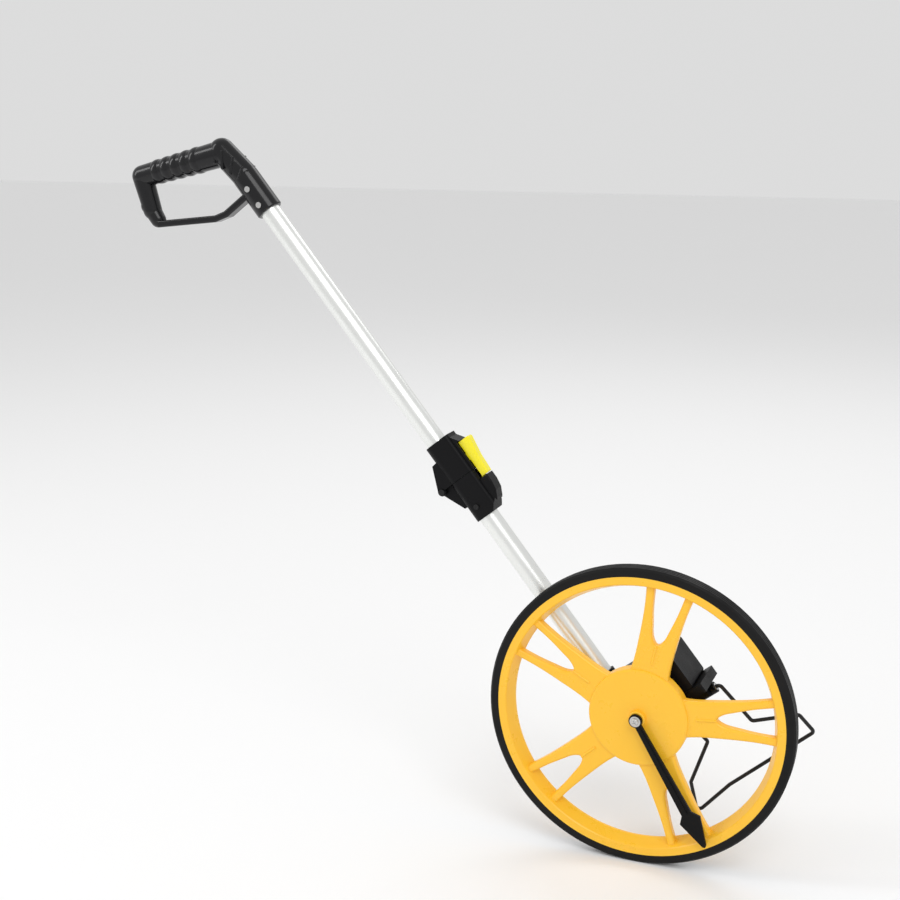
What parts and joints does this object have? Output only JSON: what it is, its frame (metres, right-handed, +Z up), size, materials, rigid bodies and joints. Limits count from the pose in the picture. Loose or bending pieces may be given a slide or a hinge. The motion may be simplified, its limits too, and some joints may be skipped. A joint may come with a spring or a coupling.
{
  "type": "measuring wheel",
  "caption": "Folding measuring wheel: spoked wheel with rubber tyre, gear-driven counter, ground pointer, wire stand, fold latch and D-shaped pistol grip.",
  "frame": {"origin": "point on the ground under the axle where the tyre's middle touches, with the pole leaned back as in use", "axes": "+Z up; +X forward, the way the wheel rolls; +Y along the axle, from the pointer side to the counter side"},
  "size_m": [0.767, 0.1131, 0.7318],
  "materials": {
    "tyre_rubber": "matte",
    "yellow_plastic": "satin",
    "button_plastic": "gloss",
    "black_plastic": "satin",
    "grip_plastic": "gloss",
    "anodised_tube": "satin",
    "bright_steel": "polished",
    "black_steel": "painted",
    "gear_plastic": "satin",
    "window_plastic": "clear"
  },
  "bodies": {
    "frame": {"axle": "bright_steel", "axle_nut": "bright_steel", "axle_washers": "bright_steel", "pointer_bolt": "bright_steel", "counter_case": "black_plastic", "case_base": "black_plastic", "base_screws": "bright_steel", "tube_bolt": "bright_steel", "counter_window": "window_plastic", "idler_pin": "bright_steel", "lower_tube": "anodised_tube", "lower_tube_plug": "black_plastic", "lower_latch_block": "black_plastic", "latch_screws": "black_steel", "stand_washers": "bright_steel", "reset_spring": "bright_steel"},
    "wheel_body": {"tyre": "tyre_rubber", "wheel": "yellow_plastic", "hub_bushes": "gear_plastic", "drive_gear": "gear_plastic"},
    "pointer_body": {"pointer": "black_plastic"},
    "idler_body": {"idler_gear": "gear_plastic"},
    "input_body": {"input_gear": "gear_plastic", "drum_shaft": "bright_steel", "number_drum_1": "gear_plastic"},
    "drum_2_body": {"number_drum_2": "gear_plastic"},
    "drum_3_body": {"number_drum_3": "gear_plastic"},
    "drum_4_body": {"number_drum_4": "gear_plastic"},
    "drum_5_body": {"number_drum_5": "gear_plastic"},
    "reset_body": {"reset_lever": "yellow_plastic"},
    "stand_body": {"stand_wire": "black_steel"},
    "pole_body": {"upper_tube": "anodised_tube", "upper_latch_case": "black_plastic", "hinge_pin": "black_steel", "latch_pin": "bright_steel", "latch_spring": "bright_steel", "handle_near_half": "grip_plastic", "handle_far_half": "grip_plastic", "handle_screws": "bright_steel"},
    "button_body": {"latch_button": "button_plastic"}
  },
  "joints": [
    {"name": "wheel_spin", "type": "hinge", "parent": "frame", "child": "wheel_body", "pos_m": [0, 0, 0.15915], "axis": [0, 1, 0], "continuous": true},
    {"name": "pointer_swing", "type": "hinge", "parent": "frame", "child": "pointer_body", "pos_m": [0, 0, 0.15915], "axis": [0, 1, 0], "continuous": true},
    {"name": "idler_spin", "type": "hinge", "parent": "frame", "child": "idler_body", "pos_m": [0.00886, 0, 0.17596], "axis": [0, 1, 0], "continuous": true},
    {"name": "input_spin", "type": "hinge", "parent": "frame", "child": "input_body", "pos_m": [0.01772, 0, 0.19277], "axis": [0, 1, 0], "continuous": true},
    {"name": "drum_2_spin", "type": "hinge", "parent": "frame", "child": "drum_2_body", "pos_m": [0.01772, 0, 0.19277], "axis": [0, 1, 0], "continuous": true},
    {"name": "drum_3_spin", "type": "hinge", "parent": "frame", "child": "drum_3_body", "pos_m": [0.01772, 0, 0.19277], "axis": [0, 1, 0], "continuous": true},
    {"name": "drum_4_spin", "type": "hinge", "parent": "frame", "child": "drum_4_body", "pos_m": [0.01772, 0, 0.19277], "axis": [0, 1, 0], "continuous": true},
    {"name": "drum_5_spin", "type": "hinge", "parent": "frame", "child": "drum_5_body", "pos_m": [0.01772, 0, 0.19277], "axis": [0, 1, 0], "continuous": true},
    {"name": "reset_lever_turn", "type": "hinge", "parent": "frame", "child": "reset_body", "pos_m": [0.01772, 0, 0.19277], "axis": [0, 1, 0], "range_deg": [0, 30], "stiffness_Nm_per_rad": 0.05},
    {"name": "stand_swing", "type": "hinge", "parent": "frame", "child": "stand_body", "pos_m": [0.01542, 0.051, 0.14011], "axis": [0.7771, 0, 0.6293], "range_deg": [0, 60]},
    {"name": "pole_fold", "type": "hinge", "parent": "frame", "child": "pole_body", "pos_m": [-0.22784, 0.036, 0.36583], "axis": [0, -1, 0], "range_deg": [0, 175]},
    {"name": "latch_press", "type": "hinge", "parent": "pole_body", "child": "button_body", "pos_m": [-0.20183, 0.036, 0.4049], "axis": [0, -1, 0], "range_deg": [0, 6], "stiffness_Nm_per_rad": 1, "deforming": ["latch_spring"]}
  ],
  "couplings": [
    {"joint": "idler_spin", "follows": "wheel_spin", "ratio": -1.1111},
    {"joint": "input_spin", "follows": "wheel_spin", "ratio": 1},
    {"joint": "drum_2_spin", "follows": "wheel_spin", "ratio": 0.1},
    {"joint": "drum_3_spin", "follows": "wheel_spin", "ratio": 0.01},
    {"joint": "drum_4_spin", "follows": "wheel_spin", "ratio": 0.001},
    {"joint": "drum_5_spin", "follows": "wheel_spin", "ratio": 0.0001}
  ]
}
